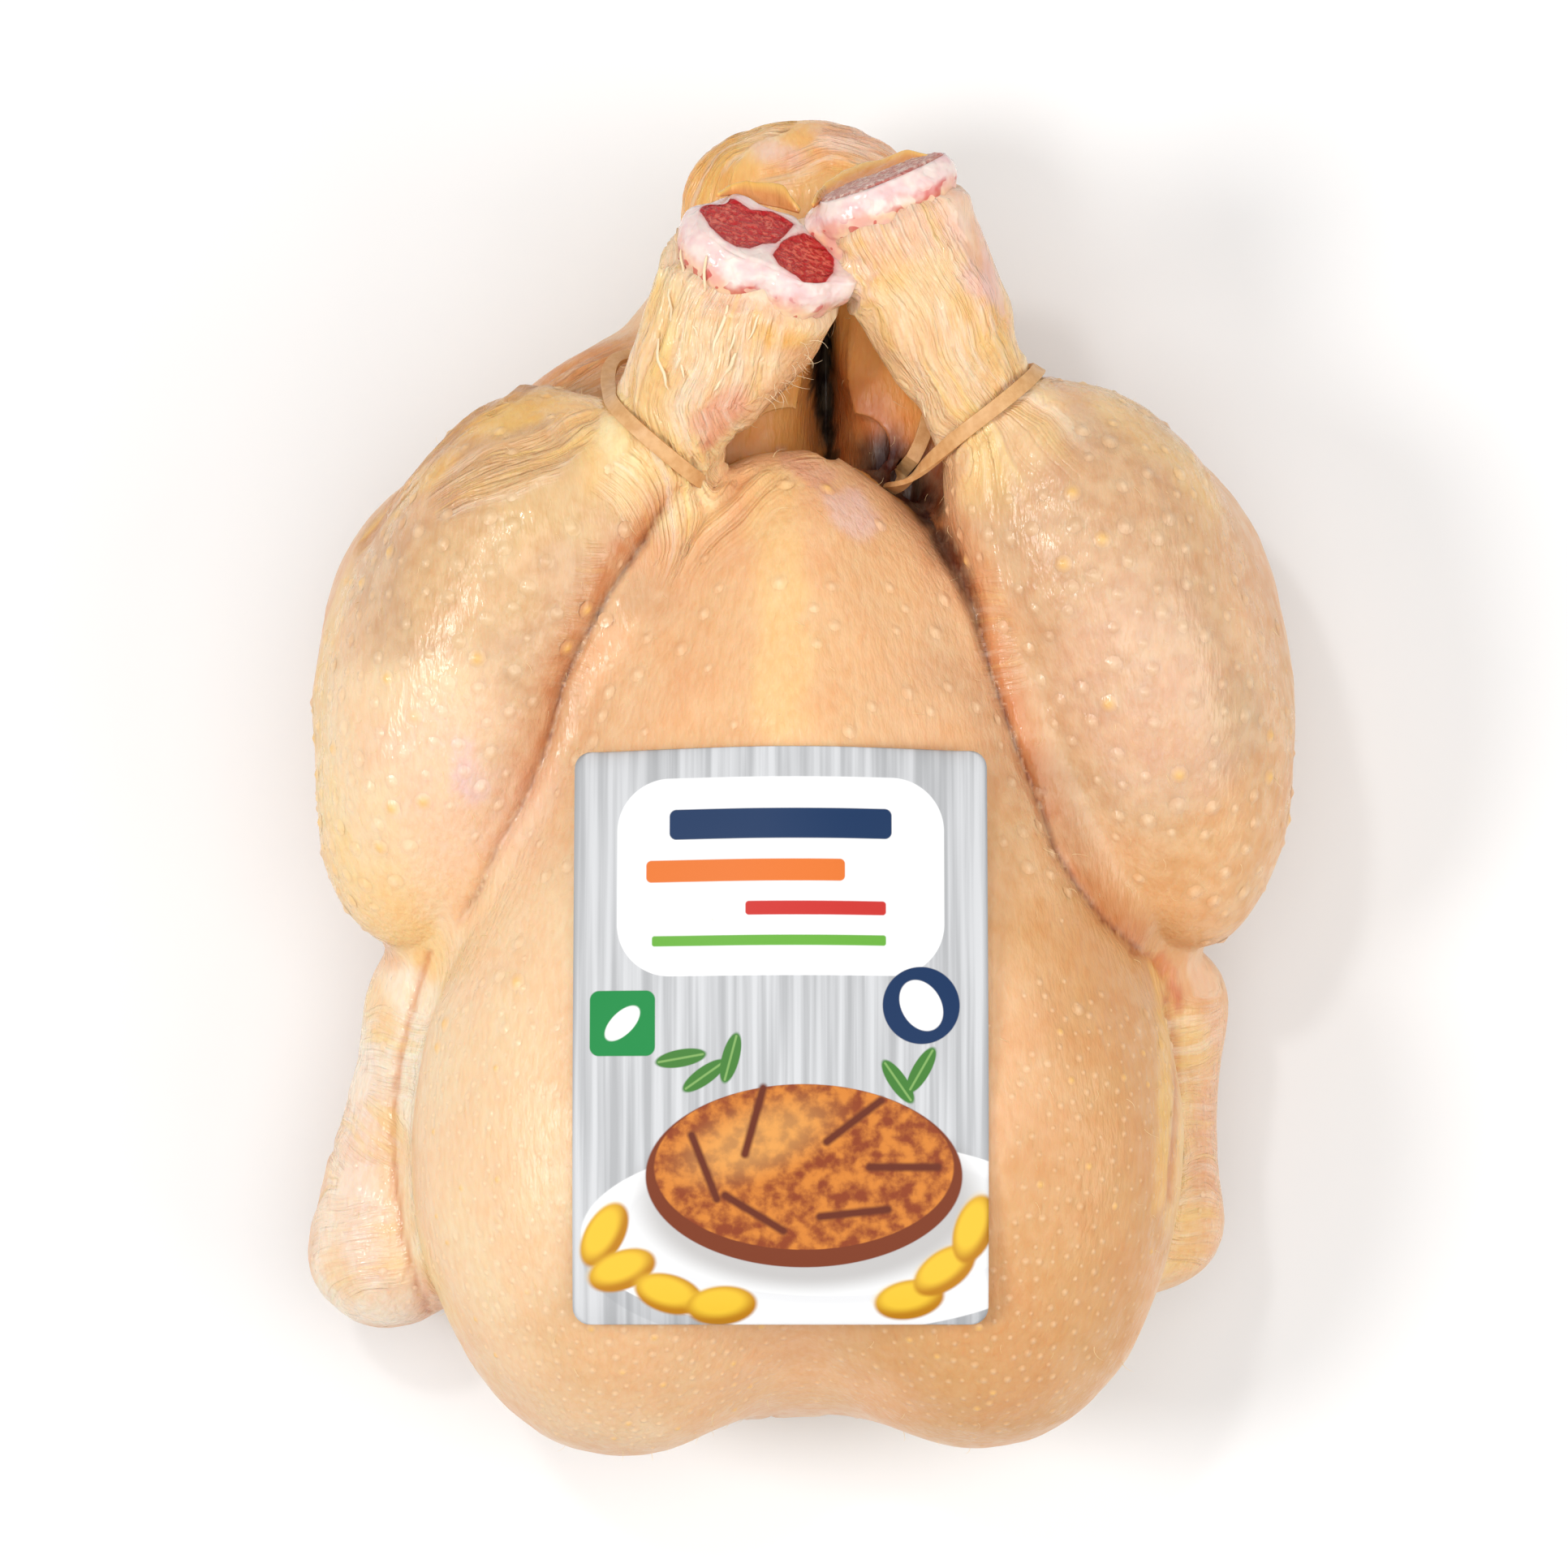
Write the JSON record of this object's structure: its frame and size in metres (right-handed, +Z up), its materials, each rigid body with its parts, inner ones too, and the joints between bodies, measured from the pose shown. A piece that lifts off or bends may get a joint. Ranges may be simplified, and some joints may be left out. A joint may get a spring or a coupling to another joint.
{
  "type": "whole raw chicken",
  "caption": "Whole raw oven-ready chicken lying on its back, legs tied together by a rubber band, with a printed label over the breast.",
  "frame": {"origin": "on the surface it lies on, under the middle of the whole bird's box", "axes": "+Z up, out of the breast; +Y from the neck end to the tail and leg ends; +X to the right when looking down on the breast with the legs pointing away"},
  "size_m": [0.1768, 0.2402, 0.0984],
  "materials": {
    "skin": "moist, pale peach and yellow raw skin",
    "rubber": "matt, natural cream",
    "label_film": "printed, satin"
  },
  "bodies": {
    "root": {"carcass": "skin", "rubber_band": "rubber", "label": "label_film"}
  },
  "joints": []
}
